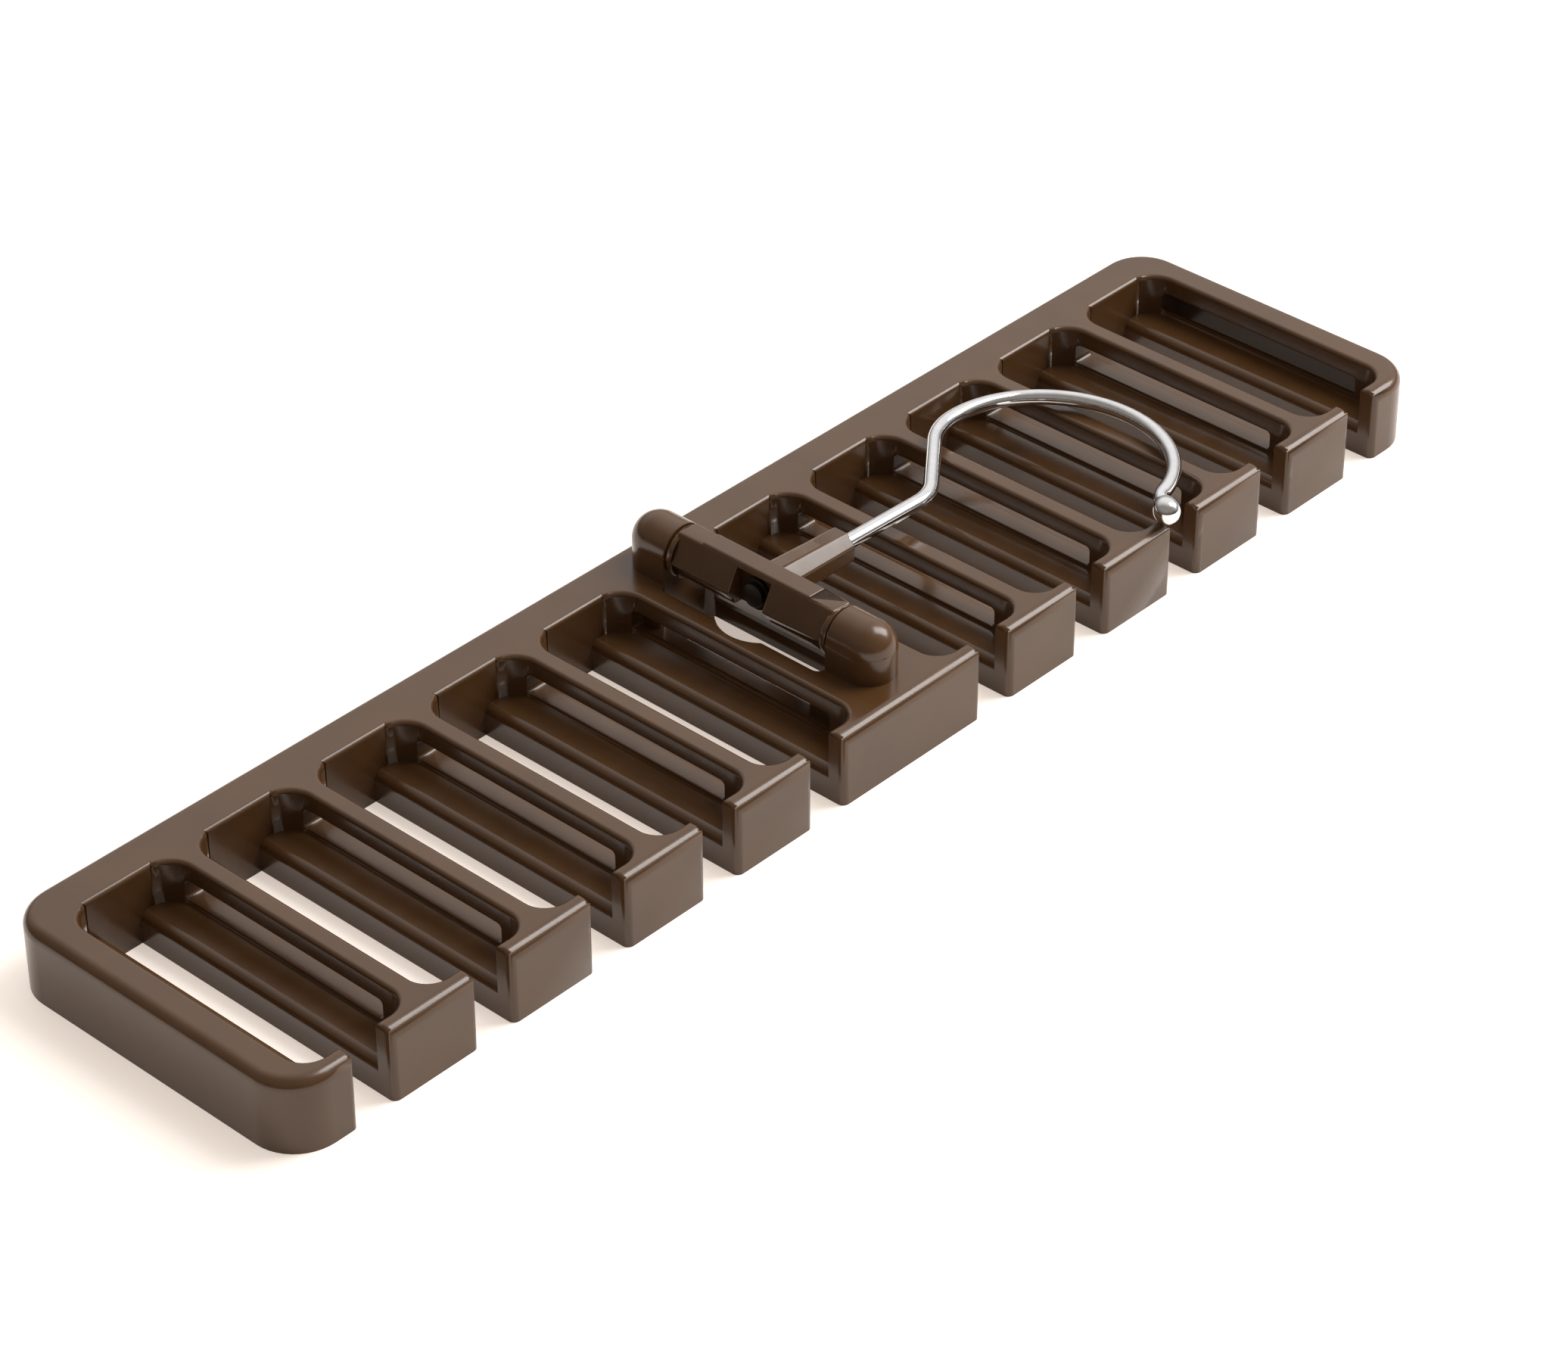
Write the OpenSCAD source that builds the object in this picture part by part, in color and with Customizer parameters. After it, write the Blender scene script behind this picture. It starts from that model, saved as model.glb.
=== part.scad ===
// Tie hanger: a hollow comb moulding with ten tie slots and a folding wire hook.
// X runs along the comb, Y from the tooth heads to the spine, Z up.
// The origin is the centre of the comb's footprint, on the surface it lies on.

/* [Comb] */
// centre-to-centre distance of the narrow teeth
pitch = 30; // [27:0.5:36]
// width of a narrow tooth
tooth_w = 21.3; // [19:0.1:24]
// number of narrow teeth on each side of the wide one
side_teeth = 4; // [2:1:5]
// width of the wide tooth that carries the hook
centre_w = 40.7; // [39:0.1:46]
// width of the half tooth at each end
end_w = 15.75; // [14:0.25:20]
// size from the heads to the back of the spine
depth = 78.6; // [74:0.2:90]
// overall height of the comb
height = 16.5; // [15:0.5:20]
// thickness of the spine, front to back
spine_w = 9.9; // [8:0.1:14]
// moulded wall thickness
wall = 1.4; // [1:0.1:1.8]
// height of the low flanges beside each bar
flange_h = 7; // [6:0.1:8]
// width of one flange, beyond the bar
flange_w = 8.4; // [7.5:0.1:8.8]
// height of the bar along the top of each tooth
bar_h = 4.3; // [3.5:0.1:5]
// height of the low sill under each bar's window
sill_h = 0.7; // [0.2:0.1:1.5]
// corner radius of the window under each bar
window_r = 1; // [0.5:0.1:1.5]
// length of solid web between a head and that window
web_l = 7.5; // [7:0.5:12]
// distance of the hollows and windows from a pocket's rear end
heel_in = 3.7; // [3:0.1:6]
// depth of the rim round the opening under the yoke, below the flanges' top
skirt_h = 4; // [2:0.2:5]
// radius of the round relief in the bars beside the yoke's middle
relief_r = 9.6; // [8:0.1:10.5]
// depth of the solid rim of each head
head_rim = 4; // [3.2:0.1:5]

/* [Comb rounding] */
// plan radius of the comb's four outer corners
corner_r = 10; // [6:0.5:14]
// radius of the outer top edge
edge_r = 2.5; // [1:0.25:3]
// radius of the flanges' outer top edges
flange_r = 2; // [1:0.25:3]
// plan radius where a pocket meets the spine
heel_r = 6; // [3:0.5:8]
// plan radius where a pocket meets a head
toe_r = 5; // [3:0.5:8]
// plan radius of the head corners beside each mouth
mouth_r = 1.5; // [0.5:0.25:2]

/* [Hinge] */
// height of the hinge axis above the surface
axis_z = 22.5; // [22.5:0.25:26]
// distance of the yoke's middle from the heads
yoke_y = 40.2; // [39:0.2:44]
// length of the yoke along the hinge axis
yoke_l = 43; // [41:0.5:46]
// radius of the hinge barrels and bearing posts
barrel_r = 5.8; // [5:0.1:5.8]
// length of each bearing block
block_l = 12.2; // [11:0.2:12.4]
// gap between the yoke and each block
end_gap = 0.45; // [0.3:0.05:0.8]
// radius of the hinge pins
pin_r = 1.5; // [1.2:0.1:1.8]
// length of a hinge pin
pin_l = 10; // [8:0.5:11]
// radial play of a hinge pin in its block
pin_play = 0.06; // [0.03:0.01:0.1]
// length of the round collar at each end of the yoke
collar_l = 1.4; // [1:0.1:2.5]

/* [Yoke] */
// width of the flat ridge along the yoke
ridge_w = 4.5; // [3.5:0.1:5]
// distance of the ridge's ends from the yoke's ends
ridge_in = 7; // [5.5:0.5:8]
// height of the ridge above the collars
ridge_h = 0.35; // [0.1:0.05:0.6]
// rise of the yoke's lower side edge, from its ends to its middle
waist_h = 2.6; // [0:0.2:3]
// half width of the yoke at its widest
yoke_half = 5.5; // [5:0.1:5.6]
// length of the pocket for the hook's retained end
pocket_l = 9.2; // [8.6:0.2:11]
// reach of the eight-sided socket from the hinge axis
socket_l = 23.2; // [20:0.2:28]
// size across the socket at its root
socket_root = 9; // [8:0.1:9.6]
// size across the socket at its tip
socket_tip = 7.8; // [6.5:0.1:8]

/* [Hook] */
// radius of the hook wire
wire_r = 1.65; // [1.4:0.05:1.9]
// radial play of the wire in its socket
wire_play = 0.1; // [0.05:0.01:0.1]
// straight length from the hinge axis to the first bend
shank_l = 46.3; // [42:0.1:56]
// centre-line radius of the first bend
neck_r = 12; // [8:0.5:15]
// angle of the first bend
neck_a = 39; // [30:1:45]
// straight length after the first bend
rise_l = 17.4; // [12:0.2:22]
// radius where the wire turns into the hook
shoulder_r = 17; // [12:0.5:22]
// angle of that turn
shoulder_a = 36; // [25:1:45]
// centre-line radius of the hook
hook_r = 25.9; // [22:0.1:28]
// angle of the hook
hook_a = 168; // [150:1:172]
// radius of the turned-out lip
lip_r = 5; // [4:0.5:8]
// angle of the turned-out lip
lip_a = 38; // [25:1:50]
// straight length at the lip's end
lip_l = 4.4; // [3.5:0.2:6]
// radius of the ball on the lip
ball_r = 2.9; // [2.5:0.1:3.4]
// radius of the retaining washer
washer_r = 3.5; // [3:0.1:3.8]
// thickness of the retaining washer
washer_t = 0.8; // [0.6:0.1:1]
// radius of the upset end of the wire
rivet_r = 2.6; // [2.3:0.1:2.8]
// thickness of the upset end of the wire
rivet_t = 1.3; // [1:0.1:1.6]

/* [Hidden] */
$fn = 64;
brown = [0.33, 0.23, 0.15];
steel = [0.72, 0.72, 0.74];
chrome = [0.85, 0.86, 0.9];
eps = 0.01;
over = 1;
seat = 0.3;
joint_gap = 0.05;
joint_r = 0.04;
joint_l = 0.5;
press_gap = 0.02;
mouth_w = pitch - tooth_w;
half_c = centre_w / 2;
inner_l = half_c + mouth_w + side_teeth * pitch;
half_l = inner_l + end_w;
bar_w = tooth_w - 2 * flange_w;
pocket_end = depth - spine_w;
core_end = pocket_end - heel_in;
window_front = head_rim + web_l;
bar_out = half_c - flange_w;
bar_in = bar_out - bar_w;
deck_front = yoke_y - yoke_l / 2 - end_gap;
deck_rear = yoke_y + yoke_l / 2 + end_gap;
cap_gap = 0.05;
peg_r = 1.2;
peg_l = 3;
peg_y = block_l - 3.2;
pin_in = pin_l / 2;
bore_l = pin_l - pin_in + 0.4;
socket_in = 1.2;
wire_start = -socket_in - washer_t - 2 * eps;
// the wire's centre line: [length, 0] or [radius, angle]
route = [[shank_l - wire_start, 0], [neck_r, neck_a], [rise_l, 0], [shoulder_r, -shoulder_a],
  [hook_r, -hook_a], [lip_r, lip_a], [lip_l, 0]];
pocket_top = barrel_r - 1.2;
collar_r = barrel_r - 0.15;
edge_z = -0.6;
slot_x = [for (s = [-1, 1]) for (i = [0:side_teeth]) s * (half_c + mouth_w / 2 + i * pitch)];
tooth_x = [for (s = [-1, 1]) for (i = [1:side_teeth]) s * (half_c + i * pitch - tooth_w / 2)];
// where the ball ends up along the shank, with the hook lying flat
a1 = neck_a;
a2 = neck_a - shoulder_a;
a3 = a2 - hook_a;
a4 = a3 + lip_a;
ball_u = shank_l + neck_r * sin(a1) + rise_l * cos(a1) + shoulder_r * (sin(a1) - sin(a2))
  + hook_r * (sin(a2) - sin(a3)) + lip_r * (sin(a4) - sin(a3)) + lip_l * cos(a4);
// the folded hook dips until its ball lies on the comb
droop = asin((axis_z - height - ball_r - seat) / ball_u);

comb_body();
bearing_cap_rear();
bearing_cap_front();
yoke();
hinge_pin_rear();
hinge_pin_front();
hook_wire();
retaining_washer();
hook_ball();

// moves a piece drawn from the head line to the shared frame
module from_heads() {
  translate([0, -depth / 2, 0]) children();
}

// box between two corners
module span(a, b) {
  translate(a) cube(b - a);
}

// upright rounded block, x from -hx to hx, y from y0 to y1
module rounded_block(hx, y0, y1, r, z0, z1) {
  span([-hx + r, y0, z0], [hx - r, y1, z1]);
  span([-hx, y0 + r, z0], [hx, y1 - r, z1]);
  for (x = [-hx + r, hx - r], y = [y0 + r, y1 - r])
    translate([x, y, z0]) cylinder(h = z1 - z0, r = r);
}

// outline of the comb's side from the corner's centre outwards, its top edge rounded
module side_outline() {
  square([corner_r, height - edge_r]);
  square([corner_r - edge_r, height]);
  translate([corner_r - edge_r, height - edge_r]) circle(r = edge_r);
}

// comb block with its top edge rounded all round
module comb_blank() {
  x = half_l - corner_r;
  y = depth - corner_r;
  span([-x, corner_r, 0], [x, y, height]);
  for (cx = [-x, x], cy = [corner_r, y])
    translate([cx, cy, 0]) rotate_extrude() side_outline();
  translate([-x, y, 0])
    rotate([90, 0, 90]) linear_extrude(height = 2 * x) side_outline();
  translate([-x, corner_r, 0])
    rotate([90, 0, 90]) mirror([1, 0, 0]) linear_extrude(height = 2 * x) side_outline();
  translate([x, y, 0])
    rotate([90, 0, 0]) linear_extrude(height = y - corner_r) side_outline();
  translate([-x, y, 0])
    rotate([90, 0, 0]) mirror([1, 0, 0]) linear_extrude(height = y - corner_r) side_outline();
}

// one tie slot: mouth, through gap and the wide pocket above the flanges
module tie_slot() {
  m = mouth_w / 2;
  w = m + flange_w;
  span([-m, -over, -over], [m, pocket_end, height + over]);
  span([-w + toe_r, head_rim, flange_h], [w - toe_r, pocket_end, height + over]);
  span([-w, head_rim + toe_r, flange_h], [w, pocket_end - heel_r, height + over]);
  span([-w + heel_r, head_rim + toe_r, flange_h], [w - heel_r, pocket_end, height + over]);
  for (s = [-1, 1]) {
    translate([s * (w - toe_r), head_rim + toe_r, flange_h])
      cylinder(h = height, r = toe_r);
    translate([s * (w - heel_r), pocket_end - heel_r, flange_h])
      cylinder(h = height, r = heel_r);
    // rounded head corners beside the mouth
    difference() {
      translate([s * (m + mouth_r / 2) - mouth_r / 2, -over, -over])
        cube([mouth_r, over + mouth_r, height + 2 * over]);
      translate([s * (m + mouth_r), mouth_r, -2 * over])
        cylinder(h = height + 4 * over, r = mouth_r);
    }
    // rounded outer top edges of the flanges
    difference() {
      translate([s * (m + flange_r / 2) - flange_r / 2, head_rim, flange_h - flange_r])
        cube([flange_r, pocket_end - head_rim, flange_r + eps]);
      translate([s * (m + flange_r), head_rim - over, flange_h - flange_r])
        rotate([-90, 0, 0]) cylinder(h = depth, r = flange_r);
    }
  }
}

// outline of the window under a bar, drawn as y and z from its lower front corner
module window_outline() {
  l = core_end - window_front;
  h = height - bar_h - flange_h - sill_h;
  translate([window_r, 0]) square([l - 2 * window_r, h]);
  translate([0, window_r]) square([l, h - 2 * window_r]);
  for (y = [window_r, l - window_r], z = [window_r, h - window_r])
    translate([y, z]) circle(r = window_r);
}

// window under a bar, x from x0 to x1
module bar_window(x0, x1) {
  translate([x0, window_front, flange_h + sill_h])
    rotate([90, 0, 90]) linear_extrude(height = x1 - x0) window_outline();
}

// hollow of a narrow tooth, with the window under its bar
module tooth_core() {
  h = tooth_w / 2;
  b = bar_w / 2;
  span([-h + wall, wall, -over], [h - wall, core_end, flange_h - wall]);
  span([-h + wall, wall, -over], [h - wall, head_rim - wall, height - wall]);
  bar_window(-b - over, b + over);
}

// hollow of an end tooth, drawn for the +X end
module end_core() {
  bar = inner_l + flange_w;
  intersection() {
    union() {
      span([inner_l + wall, wall, -over], [half_l, core_end, flange_h - wall]);
      span([inner_l + wall, wall, -over], [half_l, head_rim - wall, height - wall]);
      span([bar + wall, wall, 0], [half_l, core_end, height - wall]);
    }
    rounded_block(half_l - wall, wall, depth - wall, corner_r - wall, -over, height);
  }
  bar_window(bar - over, bar + 2 * wall);
}

// hollows of the wide tooth, the windows under its bars, and the opening under the yoke
module centre_core() {
  for (s = [-1, 1]) {
    x0 = s > 0 ? bar_in + wall : -half_c + wall;
    x1 = s > 0 ? half_c - wall : -bar_in - wall;
    span([x0, wall, -over], [x1, core_end, flange_h - wall]);
    u0 = s > 0 ? bar_in + wall : -bar_out - over;
    u1 = s > 0 ? bar_out + over : -bar_in - wall;
    bar_window(u0, u1);
  }
  // beside the opening the windows run right through
  span([-bar_out + wall, deck_front + wall, flange_h],
    [bar_out - wall, deck_rear - wall, height - bar_h]);
  rounded_block(bar_in, deck_front, deck_rear, 2, -over, height + over);
  // the opening's rim ends above the table, and its bars give way to the hook's root
  span([-bar_in - wall - eps, deck_front, -over],
    [bar_in + wall + eps, deck_rear, flange_h - skirt_h]);
  translate([0, yoke_y, flange_h + sill_h]) cylinder(h = height, r = relief_r);
  // under the two decks
  span([-bar_in, wall, -over], [bar_in, deck_front - wall, height - wall]);
  span([-bar_in, deck_rear + wall, -over], [bar_in, core_end, height - wall]);
  span([-half_c + wall, wall, -over], [half_c - wall, head_rim - wall, height - wall]);
}

// hollow of the spine
module spine_core() {
  intersection() {
    span([-half_l, pocket_end + wall, -over], [half_l, depth, height - wall]);
    rounded_block(half_l - wall, wall, depth - wall, corner_r - wall, -over, height);
  }
}

// upright half of a bearing block: y runs from the yoke outwards
module block_plan(r, h) {
  translate([-r, 0, 0]) cube([2 * r, block_l - barrel_r, h]);
  translate([0, block_l - barrel_r, 0]) cylinder(h = h, r = r);
}

// post of a bearing block, with its half bore and peg hole
module post() {
  difference() {
    translate([0, 0, height - wall / 2]) block_plan(barrel_r, axis_z - height + wall / 2);
    translate([0, -over, axis_z])
      rotate([-90, 0, 0]) cylinder(h = bore_l + over, r = pin_r + pin_play);
    translate([0, peg_y, axis_z - peg_l - 0.3]) cylinder(h = peg_l + over, r = peg_r + cap_gap);
  }
}

// domed cap of a bearing block, with its half bore and locating peg
module cap() {
  z = axis_z + cap_gap;
  difference() {
    union() {
      translate([0, 0, axis_z])
        rotate([-90, 0, 0]) cylinder(h = block_l - barrel_r, r = barrel_r);
      translate([0, block_l - barrel_r, axis_z]) sphere(r = barrel_r);
    }
    span([-2 * barrel_r, -over, axis_z - 2 * barrel_r], [2 * barrel_r, 2 * block_l, z]);
    translate([0, -over, axis_z])
      rotate([-90, 0, 0]) cylinder(h = bore_l + over, r = pin_r + pin_play);
  }
  translate([0, peg_y, axis_z - peg_l]) cylinder(h = peg_l + 1, r = peg_r);
}

// puts a block drawn outwards at the rear or the front of the yoke
module at_rear() {
  translate([0, deck_rear, 0]) children();
}

module at_front() {
  translate([0, deck_front, 0]) rotate([0, 0, 180]) children();
}

module comb_body() {
  color(brown)
    from_heads() {
      difference() {
        comb_blank();
        for (x = slot_x) translate([x, 0, 0]) tie_slot();
        for (x = tooth_x) translate([x, 0, 0]) tooth_core();
        end_core();
        mirror([1, 0, 0]) end_core();
        centre_core();
        spine_core();
      }
      at_rear() post();
      at_front() post();
    }
}

module bearing_cap_rear() {
  color(brown) from_heads() at_rear() cap();
}

module bearing_cap_front() {
  color(brown) from_heads() at_front() cap();
}

// places what turns with the yoke: x along the shank, y along the hinge axis
module folded() {
  from_heads()
    translate([0, yoke_y, axis_z])
      rotate([0, droop, 0]) children();
}

// bar with the yoke's cross-section, drawn as x and z
module yoke_bar(l, top) {
  t = ridge_w / 2 - (top - collar_r - ridge_h) * (yoke_half - ridge_w / 2) / (collar_r - edge_z);
  rotate([90, 0, 0])
    linear_extrude(height = l, center = true)
      polygon([[-t, top], [t, top], [yoke_half, edge_z], [3.2, -4], [-3.2, -4],
        [-yoke_half, edge_z]]);
}

module yoke() {
  color(brown)
    folded() {
      difference() {
        union() {
          yoke_bar(yoke_l - 2 * ridge_in, collar_r + ridge_h);
          yoke_bar(yoke_l - over, collar_r);
          for (s = [-1, 1])
            translate([0, s * (yoke_l - collar_l) / 2, 0])
              rotate([90, 0, 0]) cylinder(h = collar_l, r = collar_r, center = true);
          rotate([0, 90, 0]) rotate([0, 0, 22.5])
            cylinder(h = socket_l, r1 = socket_root / 2 / cos(22.5),
              r2 = socket_tip / 2 / cos(22.5), $fn = 8);
        }
        // the waist, where the lower side edge rises to the pocket
        for (s = [-1, 1])
          translate([-yoke_half - over, s * (yoke_l / 2 - collar_l), edge_z])
            rotate([s * atan(waist_h / (yoke_l / 2 - collar_l)), 0, 0])
              translate([0, s > 0 ? -yoke_l / 2 : 0, -barrel_r])
                cube([yoke_half + over - washer_r + 0.3, yoke_l / 2, barrel_r]);
        // pocket on the side away from the socket
        span([-2 * barrel_r, -pocket_l / 2, -2 * barrel_r],
          [-socket_in, pocket_l / 2, pocket_top]);
        // hole for the shank
        translate([-socket_in - over, 0, 0])
          rotate([0, 90, 0]) cylinder(h = socket_l + socket_in + 2 * over, r = wire_r + wire_play);
        // holes for the hinge pins
        for (s = [-1, 1])
          translate([0, s * (yoke_l / 2 - pin_in / 2 + over / 2), 0])
            rotate([90, 0, 0]) cylinder(h = pin_in + over, r = pin_r + press_gap, center = true);
      }
    }
}

module hinge_pin(s) {
  color(steel)
    folded()
      translate([0, s * yoke_l / 2, 0])
        rotate([90, 0, 0]) cylinder(h = pin_l, r = pin_r, center = true);
}

module hinge_pin_rear() {
  hinge_pin(1);
}

module hinge_pin_front() {
  hinge_pin(-1);
}

// one piece of the wire: straight where its angle is 0, otherwise a bend, left if positive
module wire_piece(p) {
  s = sign(p[1]);
  skip = joint_gap / p[0] * 180 / PI;
  if (s == 0)
    translate([joint_gap, 0, 0])
      rotate([0, 90, 0]) cylinder(h = p[0] - 2 * joint_gap, r = wire_r);
  else
    translate([0, s * p[0], 0])
      rotate([0, 0, (s > 0 ? -90 : 90 + p[1]) + skip])
        rotate_extrude(angle = abs(p[1]) - 2 * skip) translate([p[0], 0]) circle(r = wire_r);
}

// moves to the far end of a piece of the wire
module past(p) {
  s = sign(p[1]);
  if (s == 0)
    translate([p[0], 0, 0]) children();
  else
    translate([0, s * p[0], 0]) rotate([0, 0, p[1]]) translate([0, -s * p[0], 0]) children();
}

// the wire from piece i on, with a short collar closing each joint
module wire_from(i) {
  rotate([0, 90, 0]) cylinder(h = joint_l, r = wire_r + joint_r, center = true);
  wire_piece(route[i]);
  if (i + 1 < len(route)) past(route[i]) wire_from(i + 1);
}

// moves to the far end of the wire
module wire_end(i = 0) {
  if (i < len(route))
    past(route[i]) wire_end(i + 1) children();
  else
    children();
}

module hook_wire() {
  color(chrome)
    folded()
      translate([wire_start, 0, 0]) {
        wire_from(0);
        translate([-rivet_t, 0, 0]) rotate([0, 90, 0]) cylinder(h = rivet_t, r = rivet_r);
      }
}

module retaining_washer() {
  color(steel)
    folded()
      difference() {
        translate([-socket_in - washer_t - eps, 0, 0])
          rotate([0, 90, 0]) cylinder(h = washer_t, r = washer_r);
        translate([-barrel_r, 0, 0])
          rotate([0, 90, 0]) cylinder(h = 2 * barrel_r, r = wire_r + wire_play);
      }
}

module hook_ball() {
  color(chrome)
    folded()
      translate([wire_start, 0, 0])
        wire_end()
          difference() {
            sphere(r = ball_r);
            translate([-2 * ball_r, 0, 0])
              rotate([0, 90, 0]) cylinder(h = 2 * ball_r, r = wire_r + press_gap);
          }
}
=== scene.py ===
from math import radians, sin, cos, pi

import bmesh
import bpy
from mathutils import Matrix, Vector


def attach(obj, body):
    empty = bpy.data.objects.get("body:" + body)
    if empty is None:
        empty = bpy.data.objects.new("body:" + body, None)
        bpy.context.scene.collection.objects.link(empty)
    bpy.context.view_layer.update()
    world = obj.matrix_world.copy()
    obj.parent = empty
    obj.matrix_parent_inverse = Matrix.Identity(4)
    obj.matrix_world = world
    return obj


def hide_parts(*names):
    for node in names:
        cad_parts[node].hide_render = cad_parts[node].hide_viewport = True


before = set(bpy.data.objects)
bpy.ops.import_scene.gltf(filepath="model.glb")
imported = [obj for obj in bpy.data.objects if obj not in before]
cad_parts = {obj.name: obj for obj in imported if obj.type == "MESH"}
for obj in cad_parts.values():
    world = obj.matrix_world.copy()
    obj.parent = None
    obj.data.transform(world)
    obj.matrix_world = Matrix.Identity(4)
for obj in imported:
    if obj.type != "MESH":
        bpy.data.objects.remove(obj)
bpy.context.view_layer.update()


# The view: the comb lies on its back with its tooth heads towards the lens, seen from the left,
# 35 degrees above the table, through a long lens as in a product photograph.
lens = bpy.data.cameras.new("lens")
lens.sensor_width = 36
lens.lens = 109.88
lens.clip_start = 0.01
lens.clip_end = 20
eye = bpy.data.objects.new("eye", lens)
eye.matrix_world = Matrix((
    (0.67852251, 0.42637055, -0.59817669, -0.574485),
    (-0.73456506, 0.38870051, -0.55617091, -0.538863),
    (-0.00462331, 0.81677418, 0.57693896, 0.558114),
    (0, 0, 0, 1)))
bpy.context.scene.collection.objects.link(eye)
bpy.context.scene.camera = eye


# The comb: one hollow moulding in glossy brown plastic, the spine, eleven teeth, ten tie slots and
# the two bearing posts in one piece. The mould rounds every rim that a tie slides over.
def nodes_of(material):
    material.use_nodes = True
    tree = material.node_tree
    return tree, tree.nodes["Principled BSDF"]


def speckle(tree, scale, detail, stretch=(1, 1, 1)):
    place = tree.nodes.new("ShaderNodeTexCoord")
    turn = tree.nodes.new("ShaderNodeMapping")
    turn.inputs["Scale"].default_value = stretch
    noise = tree.nodes.new("ShaderNodeTexNoise")
    noise.inputs["Scale"].default_value = scale
    noise.inputs["Detail"].default_value = detail
    tree.links.new(place.outputs["Object"], turn.inputs["Vector"])
    tree.links.new(turn.outputs["Vector"], noise.inputs["Vector"])
    return noise.outputs["Fac"]


def band(tree, source, low, high, dark, light):
    ramp = tree.nodes.new("ShaderNodeValToRGB")
    ramp.color_ramp.elements[0].position = low
    ramp.color_ramp.elements[0].color = (*dark, 1)
    ramp.color_ramp.elements[1].position = high
    ramp.color_ramp.elements[1].color = (*light, 1)
    tree.links.new(source, ramp.inputs["Fac"])
    return ramp.outputs["Color"]


def grain(tree, shader, height, depth, strength):
    bump = tree.nodes.new("ShaderNodeBump")
    bump.inputs["Distance"].default_value = depth
    bump.inputs["Strength"].default_value = strength
    tree.links.new(height, bump.inputs["Height"])
    tree.links.new(bump.outputs["Normal"], shader.inputs["Normal"])


def moulded_brown(name, dark, light, polish):
    material = bpy.data.materials.new(name)
    tree, shader = nodes_of(material)
    swirl = speckle(tree, 60, 4)
    tree.links.new(band(tree, swirl, 0.35, 0.65, dark, light), shader.inputs["Base Color"])
    haze = speckle(tree, 140, 3)
    rough = band(tree, haze, 0.3, 0.7, (polish - 0.04,) * 3, (polish + 0.05,) * 3)
    tree.links.new(rough, shader.inputs["Roughness"])
    shader.inputs["IOR"].default_value = 1.52
    shader.inputs["Coat Weight"].default_value = 0.08
    shader.inputs["Coat Roughness"].default_value = 0.08
    grain(tree, shader, speckle(tree, 1400, 2), 0.0001, 0.12)
    return material


def skin(source):
    """A welded copy of a CAD node, with its flat faces whole again."""
    bm = bmesh.new()
    bm.from_mesh(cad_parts[source].data)
    bmesh.ops.remove_doubles(bm, verts=bm.verts, dist=2e-6)
    bmesh.ops.dissolve_limit(bm, angle_limit=radians(0.8), verts=bm.verts, edges=bm.edges)
    bmesh.ops.recalc_face_normals(bm, faces=bm.faces)
    return bm


def ease(bm, radius, steps, picked):
    """Rounds the outside edges that picked says."""
    rims = [e for e in bm.edges if len(e.link_faces) == 2 and e.is_convex
            and e.calc_face_angle() > radians(38) and picked(e)]
    bmesh.ops.bevel(bm, geom=rims, offset=radius, offset_type="OFFSET", segments=steps,
                    profile=0.5, affect="EDGES", clamp_overlap=False, material=-1)


def piece(bm, name, material, body, sharp=32, stands_for=()):
    mesh = bpy.data.meshes.new(name)
    bm.to_mesh(mesh)
    bm.free()
    mesh.shade_smooth()
    mesh.set_sharp_from_angle(angle=radians(sharp))
    mesh.materials.append(material)
    shown = bpy.data.objects.new(name, mesh)
    bpy.context.scene.collection.objects.link(shown)
    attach(shown, body)
    if stands_for:
        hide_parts(*stands_for)
    return shown


def even(shown):
    """Keeps the wide flat faces flat beside their rounded rims."""
    flat = shown.modifiers.new("flat faces", "WEIGHTED_NORMAL")
    flat.keep_sharp = True
    flat.weight = 80


def within(edge, low, high):
    return all(low < v.co.z < high for v in edge.verts)


def beside_yoke(edge, reach):
    return all(abs(v.co.x) < 0.0100 and abs(v.co.y - hinge.y) < reach for v in edge.verts)


def top_vert(bm, x, y):
    return min(bm.verts, key=lambda v: (v.co - Vector((x, y, top))).length)


# A level is a height above the table, and a band runs a hair past the levels at its ends.
top = 0.0165
over_plate = (0.0069, 0.0170)
windows = (0.0076, 0.0123)
hinge = Vector((0, 0.0009, 0.0225))
rim, light_rim = 0.0010, 0.0003
brown = moulded_brown("comb_brown", (0.082, 0.038, 0.014), (0.098, 0.046, 0.017), 0.22)
comb = skin("comb_body")
# One cut across the top moves to the mirrored place, clear of a pocket's rounded rim.
old_seam = [top_vert(comb, 0.01395, 0.02788), top_vert(comb, 0.00574, 0.03011)]
new_seam = [top_vert(comb, 0.01287, 0.02659), top_vert(comb, 0.00580, 0.02925)]
crossing = [e for e in old_seam[0].link_edges if old_seam[1] in e.verts]
bmesh.ops.connect_verts(comb, verts=new_seam)
bmesh.ops.dissolve_edges(comb, edges=crossing)
ease(comb, rim, 4, lambda e: within(e, *over_plate) and not beside_yoke(e, 0.0222)
     and any(v.co.z > top - 0.0005 for v in e.verts))
ease(comb, light_rim, 2, lambda e: within(e, *windows)
     or within(e, *over_plate) and beside_yoke(e, 0.0190))
# The sills of the windows run on to the opening, so that no light shows under its two bars.
sill = Vector((0.00333, 0.0539, 0.0011))
for side in (-1, 1):
    bmesh.ops.create_cube(comb, size=1, matrix=Matrix.LocRotScale(
        Vector((side * 0.009135, -0.00105, 0.00745)), None, sill))
even(piece(comb, "comb", brown, "comb", stands_for=["comb_body"]))


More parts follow.
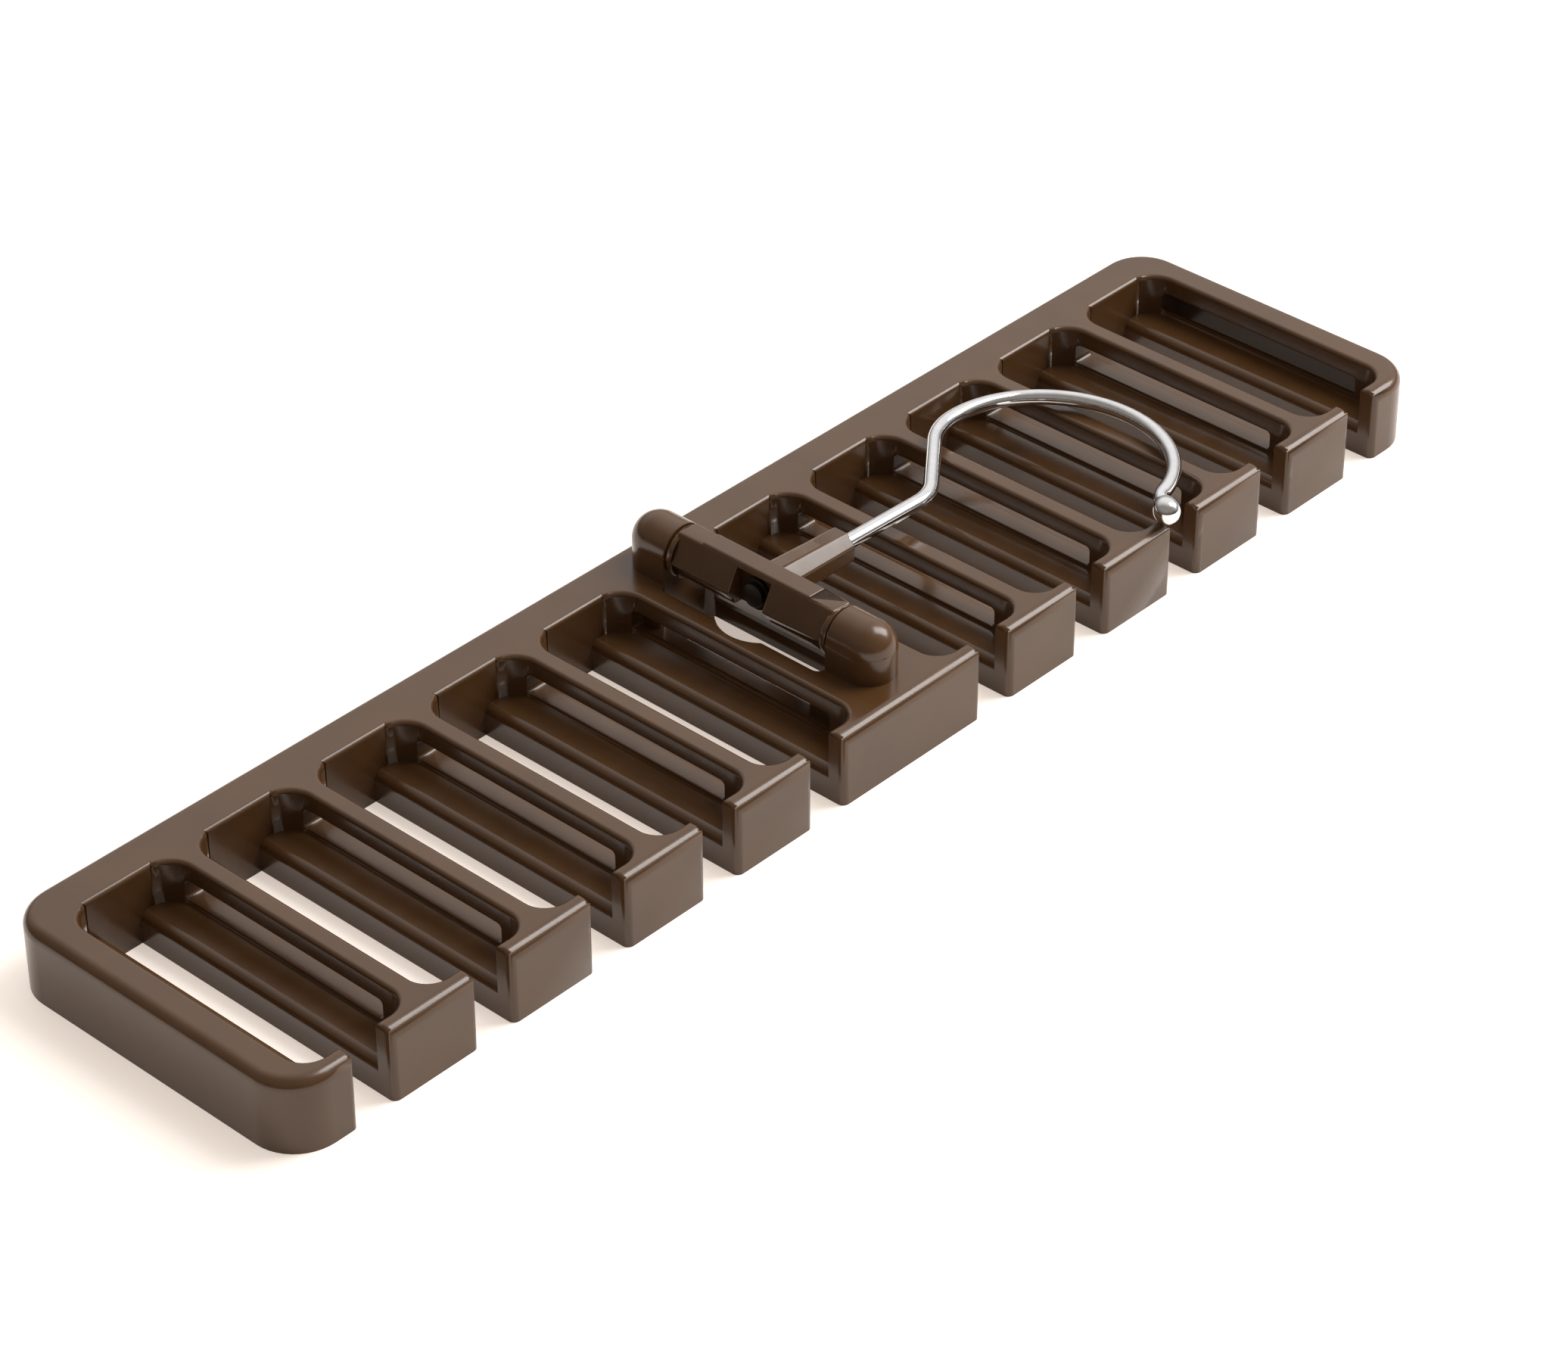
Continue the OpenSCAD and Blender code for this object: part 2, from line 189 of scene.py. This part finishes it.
# The two bearing caps: small domed mouldings in the same brown plastic, pegged and glued onto the
# posts over the hinge pins, with the edges above the parting line lightly broken.
for end in ("rear", "front"):
    cap = skin("bearing_cap_" + end)
    ease(cap, light_rim, 2, lambda e: max(v.co.z for v in e.verts) > hinge.z + 0.0002)
    even(piece(cap, "cap_" + end, brown, "comb",
               stands_for=["bearing_cap_" + end]))


# The yoke: the brown rocker between the caps, with a round barrel at each end, a slanted bar with
# a flat ridge, the pocket for the wire's head and the eight-sided socket that the wire leaves by.
yoke = skin("yoke")
ease(yoke, 0.0004, 3, lambda e: True)
even(piece(yoke, "yoke_shell", brown, "yoke_body", stands_for=["yoke"]))


# The hook: one length of 3.3 mm steel wire, bent cold and chromed, which turns in the yoke's
# socket. Its inner end is upset over a washer in the pocket so that it can't be pulled out.
def bright(name, colour, polish, scratch, stretch):
    material = bpy.data.materials.new(name)
    tree, shader = nodes_of(material)
    drawn = speckle(tree, 500, 3, stretch)
    darker = tuple(c * 0.93 for c in colour)
    tree.links.new(band(tree, drawn, 0.35, 0.65, darker, colour), shader.inputs["Base Color"])
    rough = band(tree, drawn, 0.3, 0.7, (polish,) * 3, (polish + 0.05,) * 3)
    tree.links.new(rough, shader.inputs["Roughness"])
    shader.inputs["Metallic"].default_value = 1
    grain(tree, shader, drawn, 0.0001, scratch)
    return material


chrome = bright("wire_chrome", (0.78, 0.79, 0.81), 0.06, 0.04, (1, 1, 1))
wire_r = 0.00165
droop = 2.0084
lay_flat = Matrix.Translation(hinge) @ Matrix.Rotation(radians(droop), 4, "Y")
inner_end = -0.00202
# Straight runs as (length, 0) and bends as (radius, angle), left if positive.
bends = [(0.0463 - inner_end, 0), (0.012, 39), (0.0174, 0), (0.017, -36),
         (0.0259, -168), (0.005, 38), (0.0044, 0)]
wire = bmesh.new()
end = bmesh.ops.create_circle(wire, segments=28, radius=wire_r,
                              matrix=Matrix.Translation((inner_end, 0, 0))
                              @ Matrix.Rotation(pi / 2, 4, "Y"))["verts"]
edges = list({e for v in end for e in v.link_edges})
at, heading = Vector((inner_end, 0, 0)), 0.0
for size, turn in bends:
    ahead = Vector((cos(heading), sin(heading), 0))
    if turn == 0:
        grown = bmesh.ops.extrude_edge_only(wire, edges=edges)["geom"]
        bmesh.ops.translate(wire, vec=ahead * size,
                            verts=[g for g in grown if isinstance(g, bmesh.types.BMVert)])
        edges = [g for g in grown if isinstance(g, bmesh.types.BMEdge)
                 and all(v in grown for v in g.verts)]
        at = at + ahead * size
    else:
        side = Vector((-ahead.y, ahead.x, 0)) * (1 if turn > 0 else -1)
        middle = at + side * size
        steps = max(8, int(abs(turn) / 4))
        spun = bmesh.ops.spin(wire, geom=edges, cent=middle, axis=(0, 0, 1),
                              angle=radians(turn), steps=steps)["geom_last"]
        edges = [g for g in spun if isinstance(g, bmesh.types.BMEdge)]
        heading += radians(turn)
        at = middle - Vector((-sin(heading), cos(heading), 0)) * size * (1 if turn > 0 else -1)
bmesh.ops.contextual_create(wire, geom=edges)
plated = len(wire.faces)
tip_at, tip_heading = at.copy(), heading
# The upset head: a step out, a rounded rim, the thickness and a chamfer.
head_r, disc_r, face_r = 0.00245, 0.0026, 0.0022
start_ring = [e for e in wire.edges if e.is_boundary]
for push, widen in ((0.0, head_r / wire_r), (0.00025, disc_r / head_r), (0.0008, 1.0),
                    (0.00025, face_r / disc_r)):
    grown = bmesh.ops.extrude_edge_only(wire, edges=start_ring)["geom"]
    ring = [g for g in grown if isinstance(g, bmesh.types.BMVert)]
    bmesh.ops.translate(wire, vec=(-push, 0, 0), verts=ring)
    bmesh.ops.scale(wire, vec=(1, widen, widen), verts=ring)
    start_ring = [g for g in grown if isinstance(g, bmesh.types.BMEdge)
                  and all(v in ring for v in g.verts)]
bmesh.ops.contextual_create(wire, geom=start_ring)
wire.faces.ensure_lookup_table()
# The head's faces take the second material, the steel, whose near-black colour is painted shade
# for the dark pocket around the head.
for face in wire.faces[plated:]:
    face.material_index = 1
bmesh.ops.recalc_face_normals(wire, faces=wire.faces)
bmesh.ops.transform(wire, matrix=lay_flat, verts=wire.verts)
# The steel's near-black colour is painted shade: it darkens the wire's head and the washer to the
# shade of the pocket they sit in, and the hinge pins with them.
steel = bright("pin_steel", (0.06, 0.05, 0.042), 0.5, 0.15, (1, 0.15, 1))
shown = piece(wire, "wire", chrome, "hook", 40, stands_for=["hook_wire"])
shown.data.materials.append(steel)


# The ball on the wire's end: a bright chromed bead pressed over the lip so that it can't snag
# cloth, with a short neck where it grips the wire.
bead = bmesh.new()
profile = [(-0.0036, 0.00175), (-0.0030, 0.0021), (-0.0021, 0.0026), (-0.0012, 0.00285),
           (0.0, 0.0029), (0.0011, 0.00268), (0.0020, 0.0021), (0.0026, 0.0013), (0.0029, 0)]
previous = None
for along, out in profile:
    vert = bead.verts.new((along, out, 0))
    if previous is not None:
        bead.edges.new((previous, vert))
    previous = vert
bmesh.ops.spin(bead, geom=list(bead.edges), cent=(0, 0, 0), axis=(1, 0, 0), angle=2 * pi,
               steps=40, use_merge=True)
bmesh.ops.remove_doubles(bead, verts=bead.verts, dist=1e-6)
bmesh.ops.recalc_face_normals(bead, faces=bead.faces)
bmesh.ops.transform(bead, verts=bead.verts, matrix=lay_flat @ Matrix.Translation(tip_at)
                    @ Matrix.Rotation(tip_heading, 4, "Z"))
piece(bead, "bead", chrome, "hook", 40, stands_for=["hook_ball"])


# The hinge pins and the washer: short lengths of drawn steel rod pressed into the yoke's ends, and
# a stamped steel washer. They carry fine marks from drawing, and hardly show once assembled.
# The near-black colour of this steel is painted shade, matching the pocket where the wire's head
# and the washer sit.
for name in ("hinge_pin_rear", "hinge_pin_front", "retaining_washer"):
    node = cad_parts[name]
    node.data.materials.clear()
    node.data.materials.append(steel)


# The table and the light: a plain white table, a pale sky that is brightest at the back right and
# dark at the horizon, and one soft box. The lens sees the table as plain white, and the
# reflections see it a little darker.
share_in_reflections = 0.75


def white_ground():
    material = bpy.data.materials.new("white_table")
    tree, shader = nodes_of(material)
    shader.inputs["Base Color"].default_value = (0.94, 0.91, 0.88, 1)
    shader.inputs["Roughness"].default_value = 0.9
    shader.inputs["Specular IOR Level"].default_value = 0.0
    glow = tree.nodes.new("ShaderNodeEmission")
    glow.inputs["Color"].default_value = (1.0, 0.87, 0.77, 1)
    glow.inputs["Strength"].default_value = 0.5
    both = tree.nodes.new("ShaderNodeAddShader")
    ray = tree.nodes.new("ShaderNodeLightPath")
    seen = tree.nodes.new("ShaderNodeMath")
    seen.operation = "MULTIPLY_ADD"
    seen.inputs[1].default_value = share_in_reflections
    pick = tree.nodes.new("ShaderNodeMixShader")
    tree.links.new(ray.outputs["Is Glossy Ray"], seen.inputs[0])
    tree.links.new(ray.outputs["Is Camera Ray"], seen.inputs[2])
    tree.links.new(shader.outputs["BSDF"], both.inputs[0])
    tree.links.new(glow.outputs["Emission"], both.inputs[1])
    tree.links.new(seen.outputs[0], pick.inputs[0])
    tree.links.new(shader.outputs["BSDF"], pick.inputs[1])
    tree.links.new(both.outputs[0], pick.inputs[2])
    tree.links.new(pick.outputs[0], tree.nodes["Material Output"].inputs["Surface"])
    return material


table = bmesh.new()
bmesh.ops.create_grid(table, x_segments=1, y_segments=1, size=4)
mesh = bpy.data.meshes.new("table")
table.to_mesh(mesh)
table.free()
mesh.materials.append(white_ground())
floor = bpy.data.objects.new("table", mesh)
bpy.context.scene.collection.objects.link(floor)

world = bpy.data.worlds.new("sky")
world.use_nodes = True
tree = world.node_tree
sky = tree.nodes["Background"]
way = tree.nodes.new("ShaderNodeTexCoord")
lean = tree.nodes.new("ShaderNodeVectorMath")
lean.operation = "DOT_PRODUCT"
lean.inputs[1].default_value = (0.85, 0.35, 0.40)
spread = tree.nodes.new("ShaderNodeMapRange")
spread.inputs["From Min"].default_value = 0.0
spread.inputs["From Max"].default_value = 0.9
fade = tree.nodes.new("ShaderNodeValToRGB")
fade.color_ramp.interpolation = "EASE"
fade.color_ramp.elements[0].color = (0.30, 0.27, 0.24, 1)
fade.color_ramp.elements[1].color = (1.06, 1.03, 1.0, 1)
tree.links.new(way.outputs["Generated"], lean.inputs[0])
tree.links.new(lean.outputs["Value"], spread.inputs["Value"])
tree.links.new(spread.outputs["Result"], fade.inputs["Fac"])
tree.links.new(fade.outputs["Color"], sky.inputs["Color"])
parts = tree.nodes.new("ShaderNodeSeparateXYZ")
dusk = tree.nodes.new("ShaderNodeMapRange")
dusk.inputs["From Min"].default_value = 0.05
dusk.inputs["From Max"].default_value = 0.45
dusk.inputs["To Min"].default_value = 0.2
dusk.inputs["To Max"].default_value = 1.0
tree.links.new(way.outputs["Generated"], parts.inputs["Vector"])
tree.links.new(parts.outputs["Z"], dusk.inputs["Value"])
tree.links.new(dusk.outputs["Result"], sky.inputs["Strength"])
bpy.context.scene.world = world


def soft_box(name, way, reach, width, height, radiance):
    light = bpy.data.lights.new(name, "AREA")
    light.shape = "RECTANGLE"
    light.size = width
    light.size_y = height
    light.energy = radiance * pi * width * height
    light.color = (1.0, 0.98, 0.95)
    where = Vector(way).normalized() * reach
    shown = bpy.data.objects.new(name, light)
    shown.matrix_world = (Matrix.Translation(where)
                          @ (-where).to_track_quat("-Z", "Y").to_matrix().to_4x4())
    bpy.context.scene.collection.objects.link(shown)


soft_box("key_box", (0.60, -0.30, 0.75), 1.8, 0.8, 1.5, 7.5)
bpy.context.scene.view_settings.view_transform = "Standard"
